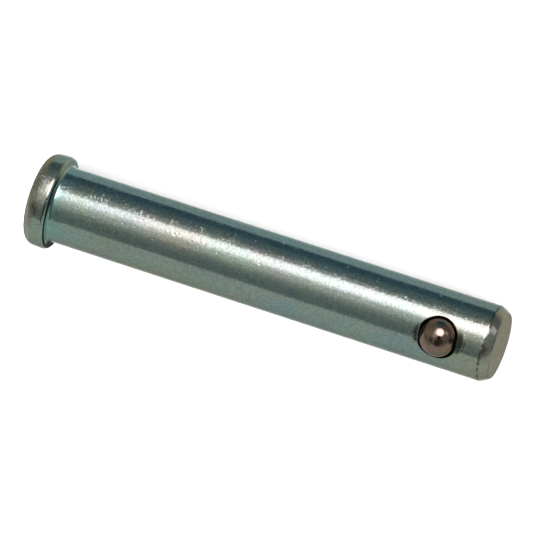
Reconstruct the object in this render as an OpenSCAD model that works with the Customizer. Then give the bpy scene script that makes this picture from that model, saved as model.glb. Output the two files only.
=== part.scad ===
// Headed lock pin for a trailer hitch, with a spring-loaded detent ball near its tip.
// The pin lies along +X with its tip at +X. The origin is the centre of the head's underside.

/* [Shank] */

// Shank diameter
shank_d = 12.7; // [11:0.1:16]

// Shank length from the head's underside to the tip
shank_l = 76.2; // [45:0.1:120]

// Length of the chamfer at the tip, along the axis
tip_chamfer_l = 1.7; // [0.6:0.01:2]

// Depth of the chamfer at the tip, inwards from the shank's wall
tip_chamfer_depth = 0.9; // [0.6:0.01:2]

// Radius of the fillet where the shank meets the head
neck_fillet_r = 0.4; // [0.2:0.1:0.5]

/* [Head] */

// Head diameter
head_d = 15.7; // [15.5:0.1:19]

// Head thickness
head_t = 4.0; // [3:0.1:6]

// Radius of the rounded corner at the head's outer edge
head_corner_r = 1.8; // [0.8:0.1:2]

// Radius of the eased edge round the head's underside
head_edge_r = 0.8; // [0.1:0.1:0.8]

/* [Detent] */

// Detent ball diameter
ball_d = 6.35; // [5.9:0.05:6.4]

// Distance from the head's underside to the centre of the ball's hole
ball_station = 67.2; // [30:0.1:68]

// How far the ball stands proud of the shank at rest
ball_proud = 2.2; // [1.6:0.05:2.2]

// Diameter of the blind hole that holds the ball and its spring
hole_d = 6.9; // [6.6:0.02:7]

// Depth of the hole's straight wall below the pin's axis
hole_below_axis = 3.4; // [3:0.1:3.8]

// Gap between the two staked lips that keep the ball in
lip_gap_d = 6.24; // [6:0.02:6.26]

// Width of each staked lip, as an angle around the hole
lip_angle = 34; // [20:1:60]

// Turn of the two lips about the hole, from the pin's axis
lip_turn = 3; // [-45:1:45]

// Wire diameter of the spring
wire_d = 0.6; // [0.5:0.05:0.65]

// Outer diameter of the spring
spring_d = 5.6; // [5.4:0.1:5.8]

// Total number of turns in the spring
spring_turns = 5; // [4:1:5]

/* [Hidden] */

shank_r = shank_d / 2;
head_r = head_d / 2;
ball_r = ball_d / 2;
hole_r = hole_d / 2;
wire_r = wire_d / 2;
coil_r = spring_d / 2 - wire_r;

// height of the ball's centre above the pin's axis
ball_z = shank_r + ball_proud - ball_r;

// a drill point leaves a cone of 118 degrees at the bottom of the hole
drill_slope = tan(31);
drill_tip_depth = hole_r * drill_slope;

// the lips fill the hole's mouth above this height, just clear of the ball
lip_r = lip_gap_d / 2;
lip_clearance = 0.02;
lip_z = ball_z + sqrt(pow(ball_r + lip_clearance, 2) - pow(lip_r, 2));
lip_root_z = ball_z + 0.55;

// the spring's first turn rests on the cone, and its last turn carries the ball
seat_clearance = 0.03;
cone_z = -hole_below_axis - (hole_r - coil_r) * drill_slope;
coil_start_z = cone_z + wire_r / cos(31) + seat_clearance;
coil_end_z = ball_z - sqrt(pow(ball_r + wire_r + seat_clearance, 2) - pow(coil_r, 2));

// one turn at each end of the spring is wound closed
closed_pitch = wire_d + 0.04;
closed_turns = 1;
open_turns = spring_turns - 2 * closed_turns;
open_pitch = (coil_end_z - coil_start_z - 2 * closed_turns * closed_pitch) / open_turns;
wire_sides = 6;
steps_per_turn = 20;
coil_steps = spring_turns * steps_per_turn;

zinc = [0.72, 0.74, 0.75];
chrome = [0.36, 0.33, 0.31];
wire_steel = [0.45, 0.45, 0.47];

// height of the wire's centre after a number of turns
function coil_z(turn) =
    coil_start_z
    + closed_pitch * min(turn, closed_turns)
    + open_pitch * max(0, min(turn - closed_turns, open_turns))
    + closed_pitch * max(0, turn - closed_turns - open_turns);

// one point on the wire's surface
function coil_point(turn, side) =
    let (rho = coil_r + wire_r * cos(side * 360 / wire_sides))
    [
        rho * cos(turn * 360),
        rho * sin(turn * 360),
        coil_z(turn) + wire_r * sin(side * 360 / wire_sides)
    ];

module head_and_shank_profile() {
    difference() {
        square([shank_r + neck_fillet_r, shank_l]);
        translate([shank_r, neck_fillet_r])
            square([neck_fillet_r * 2, shank_l]);
        translate([shank_r + neck_fillet_r, neck_fillet_r])
            circle(r = neck_fillet_r, $fn = 48);
        polygon([
            [shank_r - tip_chamfer_depth, shank_l],
            [shank_r, shank_l - tip_chamfer_l],
            [shank_r + 1, shank_l - tip_chamfer_l],
            [shank_r + 1, shank_l + 1],
            [shank_r - tip_chamfer_depth, shank_l + 1]
        ]);
    }
    translate([0, -head_t])
        square([head_r - head_corner_r, head_t]);
    translate([0, head_corner_r - head_t])
        square([head_r, head_t - head_corner_r - head_edge_r]);
    translate([head_r - head_corner_r, head_corner_r - head_t])
        circle(r = head_corner_r, $fn = 64);
    translate([0, -head_edge_r])
        square([head_r - head_edge_r, head_edge_r]);
    translate([head_r - head_edge_r, -head_edge_r])
        circle(r = head_edge_r, $fn = 48);
}

// what is left of the hole's wall where it has been staked over the ball
module staked_lip() {
    rotate([0, 0, lip_turn - lip_angle / 2])
        rotate_extrude(angle = lip_angle, $fn = 72)
            polygon([
                [lip_r, lip_z],
                [hole_r + 0.5, lip_root_z],
                [hole_r + 0.5, shank_r + 1],
                [lip_r, shank_r + 1]
            ]);
}

module ball_hole() {
    difference() {
        translate([0, 0, -hole_below_axis])
            cylinder(r = hole_r, h = hole_below_axis + shank_r + 0.5, $fn = 72);
        staked_lip();
        rotate([0, 0, 180])
            staked_lip();
    }
    translate([0, 0, -hole_below_axis - drill_tip_depth])
        cylinder(r1 = 0, r2 = hole_r, h = drill_tip_depth, $fn = 72);
}

module pin_body() {
    color(zinc)
        difference() {
            rotate([0, 90, 0])
                rotate_extrude($fn = 128)
                    head_and_shank_profile();
            translate([ball_station, 0, 0])
                ball_hole();
        }
}

module detent_ball() {
    color(chrome)
        translate([ball_station, 0, ball_z])
            sphere(r = ball_r, $fn = 96);
}

module detent_spring() {
    color(wire_steel)
        translate([ball_station, 0, 0])
            polyhedron(
                points = [
                    for (i = [0 : coil_steps])
                        for (s = [0 : wire_sides - 1])
                            coil_point(i / steps_per_turn, s)
                ],
                faces = concat(
                    [[for (s = [0 : wire_sides - 1]) s]],
                    [
                        for (i = [0 : coil_steps - 1])
                            for (s = [0 : wire_sides - 1])
                                [
                                    i * wire_sides + s,
                                    (i + 1) * wire_sides + s,
                                    (i + 1) * wire_sides + (s + 1) % wire_sides,
                                    i * wire_sides + (s + 1) % wire_sides
                                ]
                    ],
                    [[for (s = [wire_sides - 1 : -1 : 0]) coil_steps * wire_sides + s]]
                )
            );
}

pin_body();
detent_ball();
detent_spring();
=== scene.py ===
import math

import bpy
from mathutils import Matrix, Vector


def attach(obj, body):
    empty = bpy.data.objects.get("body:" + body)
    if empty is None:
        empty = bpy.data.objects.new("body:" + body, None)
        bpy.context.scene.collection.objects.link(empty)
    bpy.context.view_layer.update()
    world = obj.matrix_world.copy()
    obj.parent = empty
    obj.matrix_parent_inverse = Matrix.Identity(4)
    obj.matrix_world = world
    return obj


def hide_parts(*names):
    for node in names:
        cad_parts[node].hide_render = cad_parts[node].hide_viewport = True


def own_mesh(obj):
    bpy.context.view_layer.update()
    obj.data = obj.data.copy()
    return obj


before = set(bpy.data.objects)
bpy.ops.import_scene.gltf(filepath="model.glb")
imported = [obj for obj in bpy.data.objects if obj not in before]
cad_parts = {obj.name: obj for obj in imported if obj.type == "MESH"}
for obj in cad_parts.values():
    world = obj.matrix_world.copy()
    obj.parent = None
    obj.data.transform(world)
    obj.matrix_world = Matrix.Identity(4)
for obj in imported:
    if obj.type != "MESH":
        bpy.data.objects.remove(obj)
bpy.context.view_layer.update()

MM = 0.001

# Sizes of the pin, in millimetres, as the CAD has them
SHANK_R = 6.35
SHANK_L = 76.2
CHAMFER_L = 1.7
CHAMFER_DEPTH = 0.9
NECK_R = 0.4
HEAD_R = 7.847
HEAD_T = 4.0
HEAD_CORNER = 1.8
HEAD_EDGE = 0.8
BALL_R = 3.175
BALL_X = 67.2
BALL_Z = 5.375
HOLE_R = 3.45
HOLE_BOTTOM = -3.4
DRILL_SLOPE = math.radians(31)
DRILL_TIP = HOLE_BOTTOM - HOLE_R * math.tan(DRILL_SLOPE)
LIP_IN = 0.33
LIP_TURN = 3.0

# mesh columns round the pin, and half the length of the finer patch round the hole
TURN_STEPS = 240
WINDOW = 5.5
# the bands of light are given from this many degrees off the ball's side, towards +Y
BAND_TURN = 17.1


# ---------------------------------------------------------------- mesh helpers

def new_object(name, verts_mm, faces, smooth=True):
    mesh = bpy.data.meshes.new(name)
    mesh.from_pydata([tuple(c * MM for c in v) for v in verts_mm], [], faces)
    mesh.validate()
    mesh.polygons.foreach_set("use_smooth", [smooth] * len(mesh.polygons))
    mesh.update()
    obj = bpy.data.objects.new(name, mesh)
    bpy.context.scene.collection.objects.link(obj)
    return obj


def smoothstep(lo, hi, x):
    t = min(1.0, max(0.0, (x - lo) / (hi - lo)))
    return t * t * (3 - 2 * t)


def arc(cx, cr, radius, start, end, steps):
    """Points of an arc in the profile's plane, from start to end in degrees."""
    points = []
    for i in range(steps + 1):
        a = math.radians(start + (end - start) * i / steps)
        points.append((cx + radius * math.cos(a), cr + radius * math.sin(a)))
    return points


def line(p, q, steps):
    return [(p[0] + (q[0] - p[0]) * i / steps, p[1] + (q[1] - p[1]) * i / steps) for i in range(steps + 1)]


def joined(*runs):
    points = []
    for run in runs:
        for p in run:
            if not points or math.dist(points[-1], p) > 1e-4:
                points.append(p)
    return points


# ---------------------------------------------------------------- pin body

# marks on the shank: station, angle from the ball's side towards -Y, length, width, slant, depth.
# The last five, on the back, are invented.
NICKS = [
    (5.9, -41, 0.8, 0.12, 68, 0.016),
    (6.5, -43, 0.7, 0.12, 62, 0.014),
    (7.7, -42, 1.0, 0.13, 60, 0.018),
    (8.3, -43, 0.6, 0.12, 55, 0.014),
    (14.7, -42, 1.1, 0.12, 82, 0.018),
    (19.9, -43, 1.1, 0.13, 84, 0.020),
    (25.0, -46, 1.1, 0.13, 75, 0.020),
    (25.3, -48, 0.4, 0.12, 20, 0.014),
    (39.2, -43, 0.5, 0.14, 45, 0.014),
    (21.1, -26, 0.8, 0.14, 15, 0.030),
    (21.6, -29, 0.5, 0.12, 40, 0.026),
    (36.0, -23, 0.5, 0.16, 20, 0.028),
    (32.2, 23, 0.3, 0.18, 0, 0.040),
    (45.0, 33, 0.5, 0.12, 75, 0.026),
    (12.0, 48, 0.6, 0.12, 20, 0.026),
    (52.0, -100, 1.2, 0.14, 60, 0.036),
    (30.0, 120, 1.4, 0.14, 25, 0.036),
    (18.0, 160, 1.0, 0.15, 75, 0.036),
    (58.0, -150, 0.9, 0.15, 50, 0.036),
    (41.0, 95, 0.8, 0.13, 80, 0.030),
]


def nick_distances(x, angle):
    """Each near mark's depth, and how far a place is from its middle, where 1 is its edge."""
    for nx, na, length, width, slant, depth in NICKS:
        dx = x - nx
        if abs(dx) > 2:
            continue
        ds = math.radians((angle - na + 180) % 360 - 180) * SHANK_R
        if abs(ds) > 2:
            continue
        c, s = math.cos(math.radians(slant)), math.sin(math.radians(slant))
        along, across = dx * c + ds * s, -dx * s + ds * c
        yield depth, math.hypot(along / (length / 2), across / width)


def shank_sink(x, angle):
    """How far the shank's surface is pressed in at a place, in mm. A nick's rim stands a little proud."""
    sink = 0.0
    for depth, d in nick_distances(x, angle):
        sink += depth * (math.exp(-d * d * 1.4) - 0.25 * math.exp(-((d - 1.7) ** 2) * 4))
    return sink


def scraped(x, angle):
    """1 where a mark has scraped the plating to a matt grain, 0 elsewhere."""
    return max((math.exp(-d * d * 1.1) for _, d in nick_distances(x, angle)), default=0.0)


def stake_sink(x, y):
    """The two facets the staking punch leaves, sloping down into the hole behind each lip."""
    dx, dy = x - BALL_X, y
    out = math.hypot(dx, dy)
    if out > 4.8:
        return 0.0
    turn = math.degrees(math.atan2(dy, dx))
    sink = 0.0
    for side, reach, depth in ((0, 0.85, 0.16), (180, 0.5, 0.07)):
        away = (turn - LIP_TURN - side + 180) % 360 - 180
        fade = math.exp(-(away / 25) ** 4)
        slope = max(0.0, 1 - (out - HOLE_R) / reach)
        lump = 0.25 * depth * math.exp(-((out - HOLE_R - reach) / 0.16) ** 2)
        sink += fade * (depth * min(1.0, slope) - lump)
    return sink


def dressed(x, angle):
    """Depth of every mark together, at a station and an angle from the ball's side."""
    y = -SHANK_R * math.sin(math.radians(angle))
    sink = shank_sink(x, angle)
    if math.cos(math.radians(angle)) > 0:
        sink += stake_sink(x, y)
    return sink


def shank_stations(start, end):
    """Stations of the shank's rings: close together at the marks and round the hole, wide elsewhere."""
    stations = [start]
    while stations[-1] < end - 0.05:
        x = stations[-1]
        step = 0.8
        for nick in NICKS:
            gap = max(0.0, abs(x - nick[0]) - nick[2] / 2 - 0.2)
            step = min(step, 0.135 + gap)
        gap = max(0.0, abs(x - BALL_X) - WINDOW - 0.3)
        step = min(step, 0.2 + gap)
        stations.append(min(end, x + step))
    return stations


def body_profile():
    tip_r = SHANK_R - CHAMFER_DEPTH
    # the rim is crowned a little, so the corner starts already leaning
    crown_x, crown_r, lean = -1.2, 12.0, math.radians(6)
    rim = []
    for i in range(9):
        t = -lean * (1 - i / 8)
        rim.append((crown_x + crown_r * math.sin(t), HEAD_R - crown_r * (1 - math.cos(t))))
    corner = (HEAD_T + rim[0][0]) / (1 - math.sin(lean))
    corner_x = corner - HEAD_T
    corner_r = rim[0][1] - corner * math.cos(lean)
    face = joined(
        line((-HEAD_T, 0.4), (-HEAD_T, corner_r - 0.05), 8),
        arc(corner_x, corner_r, corner, 180, 90 + math.degrees(lean), 22),
        rim,
        arc(-HEAD_EDGE, HEAD_R - HEAD_EDGE, HEAD_EDGE, 90, 0, 14),
        line((0, HEAD_R - HEAD_EDGE), (0, SHANK_R + NECK_R), 3),
        arc(NECK_R, SHANK_R + NECK_R, NECK_R, 180, 270, 10),
    )
    shank_end = SHANK_L - CHAMFER_L
    # the tip's bevel is a little convex
    bevel = []
    for i in range(11):
        t = 0.06 + 0.85 * i / 10
        bulge = 0.36 * t * (1 - t)
        bulged_r = SHANK_R - CHAMFER_DEPTH * t + bulge * math.cos(math.radians(28))
        bevel.append((shank_end + CHAMFER_L * t, bulged_r))
    shank = [(x, SHANK_R) for x in shank_stations(NECK_R, shank_end - 0.08)]
    tip = joined(
        [(shank_end - 0.08, SHANK_R), (shank_end - 0.03, SHANK_R - 0.004)],
        [(shank_end + 0.03, SHANK_R - 0.01)],
        bevel,
        [(SHANK_L - 0.10, tip_r + 0.02), (SHANK_L - 0.035, tip_r - 0.07), (SHANK_L, tip_r - 0.22)],
        line((SHANK_L, tip_r - 0.3), (SHANK_L, 0.4), 8),
    )
    return joined(face, shank, tip), len(face) - 1, len(face) + len(shank) - 2


def build_body():
    profile, first, last = body_profile()
    n = TURN_STEPS
    angle = [360.0 * j / n for j in range(n)]
    verts, faces, slots = [], [], []

    def ring_vertex(x, r, deg):
        t = math.radians(deg)
        return (x, -r * math.sin(t), r * math.cos(t))

    for i, (x, r) in enumerate(profile):
        for deg in angle:
            rr = r
            if first < i < last:
                rr -= dressed(x, deg if deg <= 180 else deg - 360)
            verts.append(ring_vertex(x, rr, deg))
    # window round the ball's hole, in rows and columns of the grid
    row_lo = next(i for i in range(first, last) if profile[i][0] > BALL_X - WINDOW)
    row_hi = next(i for i in range(first, last) if profile[i][0] > BALL_X + WINDOW)
    half = round(51 / 360 * n)

    def in_window(i, j):
        jj = (j + n // 2) % n - n // 2
        return row_lo <= i < row_hi and -half <= jj < half

    for i in range(len(profile) - 1):
        for j in range(n):
            if in_window(i, j):
                continue
            k = (j + 1) % n
            faces.append((i * n + j, (i + 1) * n + j, (i + 1) * n + k, i * n + k))
            slots.append(1 if profile[i][0] > SHANK_L - 0.05 and profile[i + 1][0] > SHANK_L - 0.05 else 0)
    for i, x in ((0, profile[0][0]), (len(profile) - 1, profile[-1][0])):
        centre = len(verts)
        verts.append((x, 0.0, 0.0))
        for j in range(n):
            k = (j + 1) % n
            faces.append((centre, i * n + j, i * n + k) if i == 0 else (centre, i * n + k, i * n + j))
            slots.append(0 if i == 0 else 1)

    # the window's edge, once round
    loop = [(row_lo, -half + c) for c in range(2 * half)]
    loop += [(row_lo + c, half) for c in range(row_hi - row_lo)]
    loop += [(row_hi, half - c) for c in range(2 * half)]
    loop += [(row_hi - c, -half) for c in range(row_hi - row_lo)]
    edge = [i * n + (j % n) for i, j in loop]

    rings = []
    count = len(edge)
    flat = []
    for i, j in loop:
        flat.append((profile[i][0] - BALL_X, -math.radians(360.0 * j / n) * SHANK_R))
    turn = [math.atan2(s, x) for x, s in flat]

    def lip(t):
        away = min(abs((math.degrees(t) - LIP_TURN - side + 180) % 360 - 180) for side in (0, 180))
        return LIP_IN * (1 - smoothstep(5, 36, away))

    break_r = 0.1
    steps = 18
    for k in range(1, steps + 1):
        w = (1 - k / steps) ** 1.5
        ring = []
        for m in range(count):
            t = turn[m]
            radius = HOLE_R - lip(t) + break_r
            hx, hy = radius * math.cos(t), radius * math.sin(t)
            hs = math.asin(hy / SHANK_R) * SHANK_R
            x = hx + (flat[m][0] - hx) * w
            s = hs + (flat[m][1] - hs) * w
            deg = -math.degrees(s / SHANK_R)
            ring.append(len(verts))
            verts.append(ring_vertex(BALL_X + x, SHANK_R - dressed(BALL_X + x, deg), deg))
        rings.append(ring)

    def rim_height(t):
        x, y = (HOLE_R - lip(t)) * math.cos(t), (HOLE_R - lip(t)) * math.sin(t)
        return math.sqrt(SHANK_R ** 2 - y * y) - stake_sink(BALL_X + x, y)

    def wall_ring(inset, height):
        ring = []
        for m in range(count):
            t = turn[m]
            z = height(rim_height(t))
            radius = HOLE_R - lip(t) * smoothstep(5.95, 6.1, z) + inset
            ring.append(len(verts))
            verts.append((BALL_X + radius * math.cos(t), radius * math.sin(t), z))
        rings.append(ring)

    wall_ring(0.03, lambda rim: rim - 0.02)
    wall_ring(0.0, lambda rim: rim - 0.08)
    wall_start = len(rings)
    # fine rings down to below the lips, then wide ones
    below_lips = 4.9
    for k in range(1, 11):
        wall_ring(0.0, lambda rim: (rim - 0.08) + (below_lips - rim + 0.08) * k / 10)
    for z in (4.0, 3.0, 2.0, 1.0, 0.0, -1.0, -2.0, HOLE_BOTTOM + 0.02):
        wall_ring(0.0, lambda rim: z)
    for share in (0.99, 0.7, 0.35, 0.08):
        ring = []
        for m in range(count):
            radius = HOLE_R * share
            ring.append(len(verts))
            verts.append((
                BALL_X + radius * math.cos(turn[m]), radius * math.sin(turn[m]),
                HOLE_BOTTOM - (HOLE_R - radius) * math.tan(DRILL_SLOPE),
            ))
        rings.append(ring)
    previous = edge
    for number, ring in enumerate(rings):
        for m in range(count):
            k = (m + 1) % count
            faces.append((previous[m], ring[m], ring[k], previous[k]))
            slots.append(0 if number < wall_start else 2)
        previous = ring
    centre = len(verts)
    verts.append((BALL_X, 0.0, DRILL_TIP))
    for m in range(count):
        faces.append((previous[m], centre, previous[(m + 1) % count]))
        slots.append(2)
    obj = new_object("zinc_pin", verts, faces)
    obj.data.polygons.foreach_set("material_index", slots)
    worn = obj.data.attributes.new("worn", "FLOAT", "POINT")
    worn.data.foreach_set("value", [
        scraped(x, math.degrees(math.atan2(-y, z))) if math.hypot(y, z) > SHANK_R - 0.2 and x > 1
        else 0.0
        for x, y, z in verts
    ])
    return obj


# ---------------------------------------------------------------- ball and spring

def build_ball():
    """A ball made from the six faces of a cube, so that it has no poles."""
    n = 22
    index, verts, faces = {}, [], []

    def vertex(p):
        v = Vector(p).normalized() * BALL_R
        key = tuple(round(c, 5) for c in v)
        if key not in index:
            index[key] = len(verts)
            verts.append((v.x + BALL_X, v.y, v.z + BALL_Z))
        return index[key]

    def warp(a):
        return math.tan(a * math.pi / 4)

    for axis in range(3):
        for sign in (-1, 1):
            for i in range(n):
                for j in range(n):
                    corners = []
                    for di, dj in ((0, 0), (1, 0), (1, 1), (0, 1)):
                        p = [0.0, 0.0, 0.0]
                        p[axis] = sign
                        p[(axis + 1) % 3] = warp(2 * (i + di) / n - 1)
                        p[(axis + 2) % 3] = warp(2 * (j + dj) / n - 1)
                        corners.append(vertex(p))
                    faces.append(tuple(corners if sign > 0 else reversed(corners)))
    return new_object("polished_ball", verts, faces)


COIL_R, WIRE_R, TURNS = 2.5, 0.3, 5
# the first turn rests on the drilled cone and the last turn carries the ball
COIL_LO = HOLE_BOTTOM - (HOLE_R - COIL_R) * math.tan(DRILL_SLOPE) + WIRE_R / math.cos(DRILL_SLOPE) + 0.03
COIL_HI = BALL_Z - math.sqrt((BALL_R + WIRE_R + 0.03) ** 2 - COIL_R ** 2)


def coil_height(turn):
    closed = 0.64
    rise = COIL_HI - COIL_LO - 2 * closed
    if turn < 1:
        return COIL_LO + closed * turn
    if turn > TURNS - 1:
        return COIL_HI - closed * (TURNS - turn)
    s = (turn - 1) / (TURNS - 2)
    return COIL_LO + closed + rise * s


def build_spring():
    sides, steps = 12, 36
    verts, faces = [], []
    total = TURNS * steps
    for i in range(total + 1):
        turn = i / steps
        a = turn * 2 * math.pi
        for s in range(sides):
            b = 2 * math.pi * s / sides
            rho = COIL_R + WIRE_R * math.cos(b)
            z = coil_height(turn) + WIRE_R * math.sin(b)
            verts.append((BALL_X + rho * math.cos(a), rho * math.sin(a), z))
    for i in range(total):
        for s in range(sides):
            k = (s + 1) % sides
            faces.append((i * sides + s, (i + 1) * sides + s, (i + 1) * sides + k, i * sides + k))
    faces.append(tuple(range(sides)))
    faces.append(tuple(total * sides + s for s in reversed(range(sides))))
    return new_object("ball_spring", verts, faces)


# ---------------------------------------------------------------- materials

class Nodes:
    """Short names for building one material's nodes."""

    def __init__(self, name):
        self.material = bpy.data.materials.new(name)
        self.material.use_nodes = True
        self.tree = self.material.node_tree
        self.tree.nodes.clear()
        self.out = self.tree.nodes.new("ShaderNodeOutputMaterial")
        self.shader = self.tree.nodes.new("ShaderNodeBsdfPrincipled")
        self.tree.links.new(self.shader.outputs[0], self.out.inputs[0])

    def link(self, a, b):
        self.tree.links.new(a, b)

    def node(self, kind, **values):
        n = self.tree.nodes.new(kind)
        for key, value in values.items():
            setattr(n, key, value)
        return n

    def coordinates(self, scale):
        """The row frame's coordinates in metres, stretched by a scale per axis."""
        source = self.node("ShaderNodeTexCoord")
        mapping = self.node("ShaderNodeMapping")
        mapping.inputs["Scale"].default_value = scale
        self.link(source.outputs["Object"], mapping.inputs["Vector"])
        return mapping.outputs[0]

    def noise(self, scale, detail=3.0, rough=0.55, stretch=(1, 1, 1), output="Fac"):
        n = self.node("ShaderNodeTexNoise")
        n.inputs["Scale"].default_value = scale
        n.inputs["Detail"].default_value = detail
        n.inputs["Roughness"].default_value = rough
        self.link(self.coordinates(stretch), n.inputs["Vector"])
        return n.outputs[output]

    def noise_colour(self, scale, detail, rough):
        return self.noise(scale, detail, rough, output="Color")

    def levels(self, colour, low, high):
        """Spread a noise colour's usual range (0.3 to 0.7) over low to high."""
        n = self.node("ShaderNodeMapRange", data_type="FLOAT_VECTOR", clamp=False)
        n.inputs[7].default_value = (0.3, 0.3, 0.3)
        n.inputs[8].default_value = (0.7, 0.7, 0.7)
        n.inputs[9].default_value = (low, low, low)
        n.inputs[10].default_value = (high, high, high)
        self.link(colour, n.inputs[6])
        return n.outputs[1]

    def place(self):
        """The three coordinates in metres, x along the pin from the head's underside."""
        n = self.node("ShaderNodeSeparateXYZ")
        self.link(self.coordinates((1, 1, 1)), n.inputs[0])
        return n.outputs

    def ramp(self, fac, stops):
        n = self.node("ShaderNodeValToRGB")
        ramp = n.color_ramp
        while len(ramp.elements) < len(stops):
            ramp.elements.new(0.5)
        for e, (pos, colour) in zip(ramp.elements, stops):
            e.position = pos
            e.color = (*colour, 1) if isinstance(colour, tuple) else (colour, colour, colour, 1)
        self.link(fac, n.inputs["Fac"])
        return n.outputs["Color"]

    def math(self, op, a, b=None, c=None):
        n = self.node("ShaderNodeMath", operation=op)
        for i, value in enumerate((a, b, c)):
            if value is None:
                continue
            if isinstance(value, (int, float)):
                n.inputs[i].default_value = value
            else:
                self.link(value, n.inputs[i])
        return n.outputs[0]

    def mix(self, fac, a, b, blend="MIX"):
        n = self.node("ShaderNodeMix", data_type="RGBA", blend_type=blend)
        for socket, value in ((n.inputs[0], fac), (n.inputs[6], a), (n.inputs[7], b)):
            if isinstance(value, (int, float)):
                socket.default_value = value
            elif isinstance(value, tuple):
                socket.default_value = (*value, 1)
            else:
                self.link(value, socket)
        return n.outputs[2]

    def bump(self, height, distance, before=None):
        n = self.node("ShaderNodeBump")
        n.inputs["Strength"].default_value = 1.0
        n.inputs["Distance"].default_value = distance
        self.link(height, n.inputs["Height"])
        if before is not None:
            self.link(before, n.inputs["Normal"])
        return n.outputs[0]

    def set(self, name, value):
        if isinstance(value, (int, float)):
            self.shader.inputs[name].default_value = value
        elif isinstance(value, tuple):
            self.shader.inputs[name].default_value = (*value, 1)
        else:
            self.link(value, self.shader.inputs[name])


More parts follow.
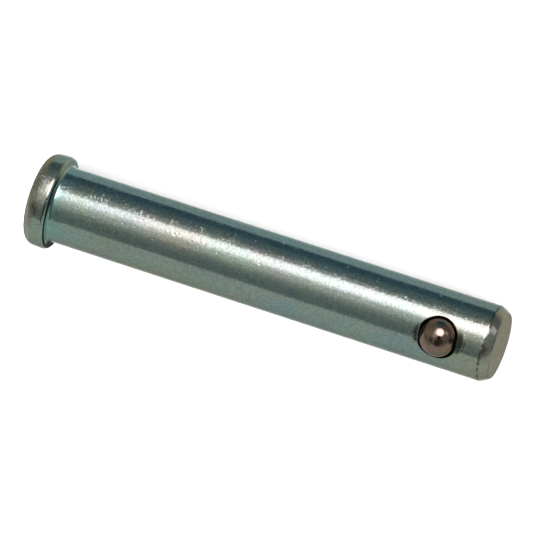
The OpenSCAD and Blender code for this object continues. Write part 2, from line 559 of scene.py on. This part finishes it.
def zinc_material():
    """Zinc plate: tints that drift in patches, drawing lines along the bar, a speckled skin and pits."""
    m = Nodes("zinc_plate")
    m.set("Metallic", 1.0)
    x, y, z = m.place()
    tint = m.ramp(m.math("MULTIPLY_ADD", x, 10.0, 0.1), [
        (0.055, (0.73, 0.69, 0.60)), (0.0955, (0.71, 0.69, 0.62)), (0.0975, (0.60, 0.80, 0.76)),
        (0.104, (0.60, 0.80, 0.80)), (0.109, (0.57, 0.71, 0.71)), (0.130, (0.65, 0.70, 0.69)),
        (0.30, (0.69, 0.69, 0.65)), (0.46, (0.66, 0.70, 0.69)), (0.70, (0.67, 0.70, 0.68)),
        (0.78, (0.71, 0.70, 0.65)), (0.84, (0.74, 0.70, 0.63)),
    ])
    cloud = m.noise_colour(210, 3, 0.6)
    tint = m.mix(1.0, tint, m.levels(cloud, 0.95, 1.05), "MULTIPLY")
    # the passivate's blue-green and olive patches, clearest away from the ball's side
    side = m.math("ARCTAN2", m.math("MULTIPLY", y, -1.0), z)
    turn = m.math("MULTIPLY_ADD", side, 0.5 / math.pi, 0.5)
    flank = m.ramp(turn, [(0.10, 1.0), (0.17, 0.25), (0.53, 0.25), (0.59, 1.0)])
    patches = m.ramp(m.noise(150, 3, 0.6, (0.6, 1, 1)), [
        (0.34, (0.86, 1.02, 1.10)), (0.46, (0.95, 1.01, 1.02)),
        (0.58, (1.02, 1.0, 0.97)), (0.70, (1.08, 1.0, 0.86)),
    ])
    tint = m.mix(flank, tint, m.mix(1.0, tint, patches, "MULTIPLY"))
    # the back is tanner near the tip
    tip_end = m.ramp(m.math("MULTIPLY_ADD", x, 10.0, 0.1), [(0.70, 0.0), (0.80, 1.0)])
    tan_end = m.math("MULTIPLY", tip_end, m.ramp(turn, [(0.13, 1.0), (0.18, 0.0)]))
    tint = m.mix(tan_end, tint, m.mix(1.0, tint, (1.28, 1.06, 1.0), "MULTIPLY"))
    grain = m.levels(m.noise(2300, 3, 0.7), 0.80, 1.20)
    tint = m.mix(1.0, tint, grain, "MULTIPLY")
    stain = m.ramp(m.noise(800, 3, 0.6), [(0.60, 0.0), (0.76, 0.4)])
    tint = m.mix(stain, tint, (0.46, 0.42, 0.33))

    # painted shade in the corner under the head, darkest on the ball's side
    corner = m.ramp(m.math("MULTIPLY_ADD", x, 1000.0, 0.5), [
        (0.27, 0.0), (0.32, 1.0), (0.46, 1.0), (0.49, 0.0),
    ])
    round_about = m.ramp(turn, [
        (0.14, 0.55), (0.28, 0.2), (0.34, 0.3), (0.39, 1.0),
        (0.50, 1.0), (0.57, 0.85), (0.62, 1.0), (0.90, 0.6),
    ])
    painted_corner_shade = m.math("MULTIPLY", corner, round_about)
    # painted shade also covers the head's underside and the neck on the -Y side
    under_head = m.ramp(m.math("MULTIPLY_ADD", x, 1000.0, 0.5), [
        (0.38, 0.0), (0.44, 1.0), (0.78, 1.0), (0.92, 0.0),
    ])
    low_down = m.ramp(turn, [(0.65, 0.0), (0.68, 1.0), (0.78, 1.0), (0.84, 0.0)])
    painted_corner_shade = m.math("MAXIMUM", painted_corner_shade, m.math("MULTIPLY", under_head, low_down))
    # the staking facets behind the lips: rubbed to a rougher plating, and darkened with painted shade
    out_x, out_y = m.math("SUBTRACT", x, BALL_X * MM), y
    away = m.math("MULTIPLY_ADD", m.math("ARCTAN2", out_y, out_x), 1 / math.pi, -LIP_TURN / 180)
    facing = m.ramp(m.math("PINGPONG", away, 0.5), [(0.10, 1.0), (0.16, 0.0)])
    reach = m.math("SQRT", m.math("ADD", m.math("POWER", out_x, 2.0), m.math("POWER", out_y, 2.0)))
    near = m.ramp(m.math("MULTIPLY_ADD", reach, 200.0, 0.0), [(0.80, 1.0), (0.87, 0.0)])
    above = m.math("GREATER_THAN", z, 0.002)
    stake_scuff_and_shade = m.math("MULTIPLY", m.math("MULTIPLY", facing, near), above)
    stake_scuff_and_shade = m.math("MULTIPLY", stake_scuff_and_shade, m.ramp(m.noise(1800, 3, 0.7), [(0.35, 0.5), (0.55, 0.95)]))
    tipward = m.ramp(m.math("MULTIPLY_ADD", out_x, 100.0, 0.5), [(0.4, 0.35), (0.6, 1.0)])
    stake_scuff_and_shade = m.math("MULTIPLY", stake_scuff_and_shade, tipward)
    # painted shade on the staking facets
    tint = m.mix(stake_scuff_and_shade, tint, (0.11, 0.13, 0.12))
    # painted shade in the corner under the head
    tint = m.mix(painted_corner_shade, tint, (0.012, 0.016, 0.014))
    worn = m.node("ShaderNodeAttribute", attribute_name="worn").outputs["Fac"]
    # painted shadow on one side of the bevel's edge and a painted highlight on the other, in patches
    edge = m.ramp(m.math("MULTIPLY_ADD", x, 1000.0, 0.5 - SHANK_L + CHAMFER_L), [
        (0.32, 0.0), (0.44, 1.0), (0.66, 1.0), (0.82, 0.0),
    ])
    edge = m.math("MULTIPLY", edge, m.ramp(m.noise(1100, 3, 0.7), [(0.40, 0.15), (0.54, 1.0)]))
    painted_edge_shadow = m.math("MULTIPLY", edge, m.ramp(turn, [(0.36, 0.7), (0.42, 0.2), (0.48, 0.0), (0.54, 0.75)]))
    painted_edge_highlight = m.math("MULTIPLY", edge, m.ramp(turn, [(0.38, 0.0), (0.42, 0.8), (0.48, 1.0), (0.53, 0.0)]))
    tint = m.mix(painted_edge_shadow, tint, (0.10, 0.11, 0.105))
    # the painted edge highlight joins the nicks' scraped wear, lightening the colour and raising the
    # roughness
    worn = m.math("MAXIMUM", worn, m.math("MULTIPLY", painted_edge_highlight, 0.7))
    tint = m.mix(m.math("MULTIPLY", worn, 0.7), tint, (0.84, 0.84, 0.81))
    m.set("Base Color", tint)

    # matt specks in the plating, thickest near the head
    where = m.ramp(m.noise(420, 3, 0.6), [(0.40, 0.2), (0.60, 1.0)])
    pitted_end = m.ramp(m.math("MULTIPLY_ADD", x, 10.0, 0.1), [(0.12, 0.75), (0.25, 0.65), (0.45, 0.5)])
    where = m.math("MULTIPLY", where, pitted_end)
    specks = m.math("MULTIPLY", m.ramp(m.noise(2500, 3, 0.75), [(0.54, 0.0), (0.62, 1.0)]), where)
    rough = m.math("MULTIPLY_ADD", m.noise(300, 4, 0.6), 0.12, 0.02)
    rough = m.math("MULTIPLY_ADD", specks, 0.24, rough)
    rough = m.math("MULTIPLY_ADD", m.math("MAXIMUM", painted_corner_shade, stake_scuff_and_shade), 0.35, rough)
    rough = m.math("MULTIPLY_ADD", worn, 0.45, rough)
    m.set("Roughness", rough)
    normal = m.bump(m.math("MULTIPLY", m.noise(2100, 3, 0.7), where), 0.000013)
    normal = m.bump(specks, 0.000009, normal)
    drawn = m.noise(2400, 3, 0.6, (0.02, 1, 1))
    normal = m.bump(drawn, 0.000006, normal)
    pits = m.ramp(m.noise(1300, 2, 0.6), [(0.25, 0.0), (0.31, 1.0)])
    normal = m.bump(pits, 0.00003, normal)
    m.set("Normal", normal)
    return m.material


def cut_end_material():
    m = Nodes("cut_end")
    m.set("Metallic", 1.0)
    cloud = m.noise_colour(500, 4, 0.65)
    tint = m.mix(1.0, (0.76, 0.69, 0.56), m.levels(cloud, 0.82, 1.18), "MULTIPLY")
    m.set("Base Color", tint)
    m.set("Roughness", m.math("MULTIPLY_ADD", m.noise(600, 3, 0.6), 0.2, 0.3))
    m.set("Normal", m.bump(m.noise(2500, 3, 0.6), 0.00001))
    return m.material


def hole_material():
    """Bare steel inside the drilled hole, which the plating never reached, coloured near-black as painted
    shade.
    """
    m = Nodes("painted_shade_hole")
    m.set("Metallic", 0.6)
    m.set("Base Color", m.ramp(m.noise(900, 3, 0.6), [
        (0.35, (0.018, 0.016, 0.014)), (0.7, (0.04, 0.036, 0.03)),
    ]))
    m.set("Roughness", m.math("MULTIPLY_ADD", m.noise(1200, 2, 0.5), 0.2, 0.45))
    m.set("Normal", m.bump(m.noise(1500, 2, 0.5, (1, 1, 8)), 0.000008))
    return m.material


def ball_material():
    m = Nodes("ball_steel")
    m.set("Metallic", 1.0)
    cloud = m.noise_colour(1100, 3, 0.6)
    tint = m.mix(1.0, (0.53, 0.355, 0.295), m.levels(cloud, 0.85, 1.15), "MULTIPLY")
    # painted shade on the ball's two sides along the pin, beside the lips
    x, y, z = m.place()
    side_x = m.math("MULTIPLY_ADD", x, 1000 / BALL_R, -BALL_X / BALL_R)
    lean = m.math("MULTIPLY_ADD", y, -200 / BALL_R, 0.0)
    ragged = m.math("MULTIPLY_ADD", m.noise(1400, 3, 0.7), 0.10, -0.05)
    towards_head = m.math("ADD", m.math("SUBTRACT", ragged, side_x), m.math("MULTIPLY", lean, -1.0))
    painted_ball_shade = m.math("MAXIMUM", m.ramp(towards_head, [(0.69, 0.0), (0.78, 0.94)]),
                  m.ramp(m.math("ADD", side_x, ragged), [(0.82, 0.0), (0.90, 0.9)]))
    tint = m.mix(painted_ball_shade, tint, (0.012, 0.010, 0.009))
    m.set("Base Color", tint)
    m.set("Roughness", m.math("MULTIPLY_ADD", m.noise(900, 3, 0.6), 0.08, 0.04))
    m.set("Normal", m.bump(m.noise(2400, 2, 0.5), 0.0000025))
    return m.material


def spring_material():
    m = Nodes("spring_wire")
    m.set("Metallic", 1.0)
    drift = m.noise(1500, 3, 0.6)
    m.set("Base Color", m.ramp(drift, [(0.35, (0.40, 0.40, 0.42)), (0.65, (0.48, 0.47, 0.46))]))
    m.set("Roughness", m.math("MULTIPLY_ADD", drift, 0.15, 0.25))
    m.set("Normal", m.bump(m.noise(4000, 2, 0.5), 0.000004))
    return m.material


def floor_material():
    m = Nodes("pale_floor")
    m.set("Base Color", m.ramp(m.noise(6, 2, 0.5), [(0.3, 0.955), (0.7, 0.965)]))
    m.set("Roughness", 1.0)
    m.set("Specular IOR Level", 0.0)
    return m.material


# ---------------------------------------------------------------- studio

def build_world():
    """Metal sees coloured bands round the pin, a softbox and dark discs. Matt surfaces see white light."""
    world = bpy.data.worlds.new("studio")
    bpy.context.scene.world = world
    world.use_nodes = True
    world.cycles.sampling_method = "NONE"
    tree = world.node_tree
    tree.nodes.clear()

    def node(kind, **values):
        n = tree.nodes.new(kind)
        for key, value in values.items():
            setattr(n, key, value)
        return n

    def put(value, socket):
        if isinstance(value, (int, float)):
            socket.default_value = value
        elif isinstance(value, tuple):
            socket.default_value = (*value, 1)
        else:
            tree.links.new(value, socket)

    def maths(op, a, b=0.0):
        n = node("ShaderNodeMath", operation=op)
        put(a, n.inputs[0])
        put(b, n.inputs[1])
        return n.outputs[0]

    def ramp(fac, stops):
        n = node("ShaderNodeValToRGB")
        while len(n.color_ramp.elements) < len(stops):
            n.color_ramp.elements.new(0.5)
        for e, (pos, colour) in zip(n.color_ramp.elements, stops):
            e.position = pos
            e.color = (*colour, 1) if isinstance(colour, tuple) else (colour, colour, colour, 1)
        put(fac, n.inputs["Fac"])
        return n.outputs["Color"]

    def mix(fac, a, b, blend="MIX"):
        n = node("ShaderNodeMix", data_type="RGBA", blend_type=blend)
        put(fac, n.inputs[0])
        put(a, n.inputs[6])
        put(b, n.inputs[7])
        return n.outputs[2]

    def around(deg):
        """Ramp position of an angle about the pin, measured from the ball's side towards -Y."""
        return deg / 360 + 0.5

    coordinates = node("ShaderNodeTexCoord")
    split = node("ShaderNodeSeparateXYZ")
    tree.links.new(coordinates.outputs["Generated"], split.inputs[0])
    dx, dy, dz = split.outputs
    angle = maths("ARCTAN2", maths("MULTIPLY", dy, -1.0), dz)
    turn = maths("ADD", maths("DIVIDE", angle, 2 * math.pi), 0.5)

    def round_pin(stops):
        """Colours by angle about the pin, given from BAND_TURN off the ball's side."""
        return ramp(turn, sorted((around(deg - BAND_TURN), colour) for deg, colour in stops))

    def by_dx(stops):
        return ramp(maths("ADD", maths("MULTIPLY", dx, 0.5), 0.5), [(0.5 + v / 2, c) for v, c in stops])

    walls = round_pin([
        (-162, (0.70, 0.75, 0.74)), (-150, (0.26, 0.34, 0.33)), (-140, (0.19, 0.275, 0.27)),
        (-107, (0.185, 0.275, 0.285)), (-103.5, (0.030, 0.070, 0.088)), (-86, (0.034, 0.072, 0.088)),
        (-74, (0.070, 0.110, 0.118)), (-58, (0.105, 0.145, 0.145)), (-54, (0.20, 0.225, 0.215)),
        (-30, (0.40, 0.42, 0.40)), (-20, (0.62, 0.64, 0.61)), (-13, (0.72, 0.74, 0.70)),
        (-6, (0.45, 0.48, 0.44)), (3, (0.39, 0.425, 0.375)), (12, (0.22, 0.255, 0.22)),
        (24, (0.145, 0.18, 0.165)), (36, (0.11, 0.148, 0.140)), (53, (0.098, 0.140, 0.135)),
        (56.5, (0.265, 0.32, 0.285)), (90, (0.26, 0.32, 0.285)), (120, (0.235, 0.285, 0.250)),
        (138, (0.20, 0.24, 0.215)), (150, (0.26, 0.29, 0.27)), (165, (0.70, 0.73, 0.71)),
        (180, (0.85, 0.87, 0.86)),
    ])
    near_head = round_pin([
        (-162, (0.20, 0.18, 0.15)), (-120, (0.23, 0.21, 0.17)), (-90, (0.13, 0.145, 0.12)),
        (-50, (0.15, 0.165, 0.15)), (0, (0.21, 0.23, 0.18)), (43, (0.12, 0.14, 0.10)),
        (75, (0.22, 0.25, 0.20)), (97, (0.32, 0.34, 0.31)), (141, (0.33, 0.35, 0.31)),
        (165, (0.20, 0.20, 0.17)),
    ])
    near_tip = round_pin([
        (-160, (0.38, 0.34, 0.29)), (-120, (0.30, 0.29, 0.23)), (-88, (0.085, 0.095, 0.090)),
        (-20, (0.14, 0.165, 0.16)), (30, (0.13, 0.15, 0.14)), (50, (0.21, 0.23, 0.195)),
        (90, (0.30, 0.33, 0.27)), (120, (0.25, 0.28, 0.235)), (165, (0.20, 0.21, 0.18)),
    ])
    seen = mix(by_dx([(-0.48, 1.0), (-0.32, 0.0)]), walls, near_head)
    seen = mix(by_dx([(0.0, 0.0), (0.25, 1.0)]), seen, near_tip)
    patch = mix(1.0, by_dx([(0.50, 0.0), (0.60, 0.3), (0.72, 0.3), (0.84, 0.0)]), round_pin([
        (-64, 0.0), (-56, 1.0), (-42, 1.0), (-30, 0.0),
    ]), "MULTIPLY")
    seen = mix(1.0, seen, patch, "ADD")
    seen = mix(by_dx([(0.94, 0.0), (0.99, 0.9)]), seen, (0.01, 0.012, 0.012))

    def towards(x, y, z):
        n = node("ShaderNodeVectorMath", operation="DOT_PRODUCT")
        tree.links.new(coordinates.outputs["Generated"], n.inputs[0])
        n.inputs[1].default_value = (x, y, z)
        return n.outputs["Value"]

    softbox = ramp(maths("SUBTRACT", towards(0.147, 0.7065, 0.691), 0.5), [
        (0.399, 0.0), (0.407, 1.20), (0.430, 1.32), (0.462, 2.8), (0.5, 3.6),
    ])
    seen = mix(1.0, seen, softbox, "LIGHTEN")
    # overhead, beside the strip that the shank mirrors, the studio is darker
    overhead = ramp(towards(0.2243, 0.2864, 0.9315), [(0.49, 0.0), (0.54, 0.68)])
    lower = round_pin([(8, 0.0), (24, 1.0), (120, 1.0), (140, 0.0)])
    aside = by_dx([
        (-0.72, 0.3), (-0.60, 1.0), (-0.36, 1.0), (-0.31, 0.0),
        (-0.14, 0.0), (-0.08, 1.0), (0.30, 1.0), (0.46, 0.3),
    ])
    darker = mix(1.0, mix(1.0, overhead, lower, "MULTIPLY"), aside, "MULTIPLY")
    seen = mix(darker, seen, (0.02, 0.012, 0.010))
    # a dark patch that the ball mirrors low on its side
    gloom = ramp(towards(0.342, -0.2003, 0.9182), [(0.90, 0.0), (0.955, 0.62)])
    seen = mix(gloom, seen, (0.02, 0.014, 0.012))
    # a dark disc at the direction of the main view
    shade = ramp(towards(0.2423, 0.2291, 0.9427), [(0.965, 0.0), (0.98, 0.55), (0.99, 0.96)])
    seen = mix(shade, seen, (0.02, 0.012, 0.012))

    path = node("ShaderNodeLightPath")
    matt = mix(path.outputs["Is Camera Ray"], (2.2, 2.2, 2.2), (0.97, 0.97, 0.97))
    colour = mix(path.outputs["Is Glossy Ray"], matt, seen)
    background = node("ShaderNodeBackground")
    put(colour, background.inputs["Color"])
    background.inputs["Strength"].default_value = 1.0
    out = node("ShaderNodeOutputWorld")
    tree.links.new(background.outputs[0], out.inputs[0])


def build_floor():
    """A pale floor that the head's rim and the tip both touch, so it leans about a degree."""
    lean = math.atan2(HEAD_R - SHANK_R, SHANK_L - CHAMFER_L + HEAD_EDGE)
    half = 1.6
    mesh = bpy.data.meshes.new("floor")
    cells = 8
    verts, faces = [], []
    for i in range(cells + 1):
        for j in range(cells + 1):
            x, y = half * (2 * i / cells - 1), half * (2 * j / cells - 1)
            verts.append((x, y, -HEAD_R * MM + (x + HEAD_EDGE * MM) * math.tan(lean)))
    for i in range(cells):
        for j in range(cells):
            a = i * (cells + 1) + j
            faces.append((a, a + cells + 1, a + cells + 2, a + 1))
    mesh.from_pydata(verts, [], faces)
    floor = bpy.data.objects.new("floor", mesh)
    bpy.context.scene.collection.objects.link(floor)
    mesh.materials.append(floor_material())
    floor.visible_glossy = False
    return floor


def build_camera():
    data = bpy.data.cameras.new("camera")
    data.lens = 426.2
    data.sensor_width = 36.0
    data.clip_start, data.clip_end = 0.05, 20.0
    camera = bpy.data.objects.new("camera", data)
    bpy.context.scene.collection.objects.link(camera)
    tilt, lean, roll = math.radians(12.96), math.radians(17.09), math.radians(17.98)
    x, y, z = Vector((1, 0, 0)), Vector((0, 1, 0)), Vector((0, 0, 1))
    across = math.cos(lean) * z + math.sin(lean) * y
    down = math.sin(lean) * z - math.cos(lean) * y
    back = math.sin(tilt) * x + math.cos(tilt) * across
    along = math.cos(tilt) * x - math.sin(tilt) * across
    right = math.cos(roll) * along - math.sin(roll) * down
    up = -math.sin(roll) * along - math.cos(roll) * down
    shift_right, shift_up, distance = 0.03353, -0.01037, 1.0305
    place = shift_right * right + shift_up * up + distance * back
    camera.matrix_world = Matrix((
        (right.x, up.x, back.x, place.x),
        (right.y, up.y, back.y, place.y),
        (right.z, up.z, back.z, place.z),
        (0, 0, 0, 1),
    ))
    bpy.context.scene.camera = camera


# ---------------------------------------------------------------- the part

build_camera()
build_world()
build_floor()

pin = build_body()
pin.data.materials.append(zinc_material())
pin.data.materials.append(cut_end_material())
pin.data.materials.append(hole_material())
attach(pin, "pin")
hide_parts("pin_body")

ball = build_ball()
ball.data.materials.append(ball_material())
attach(ball, "ball")
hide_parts("detent_ball")

spring = build_spring()
spring.data.materials.append(spring_material())
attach(spring, "pin")
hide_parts("detent_spring")
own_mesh(spring)

scene = bpy.context.scene
scene.view_settings.view_transform = "Standard"
scene.view_settings.look = "None"
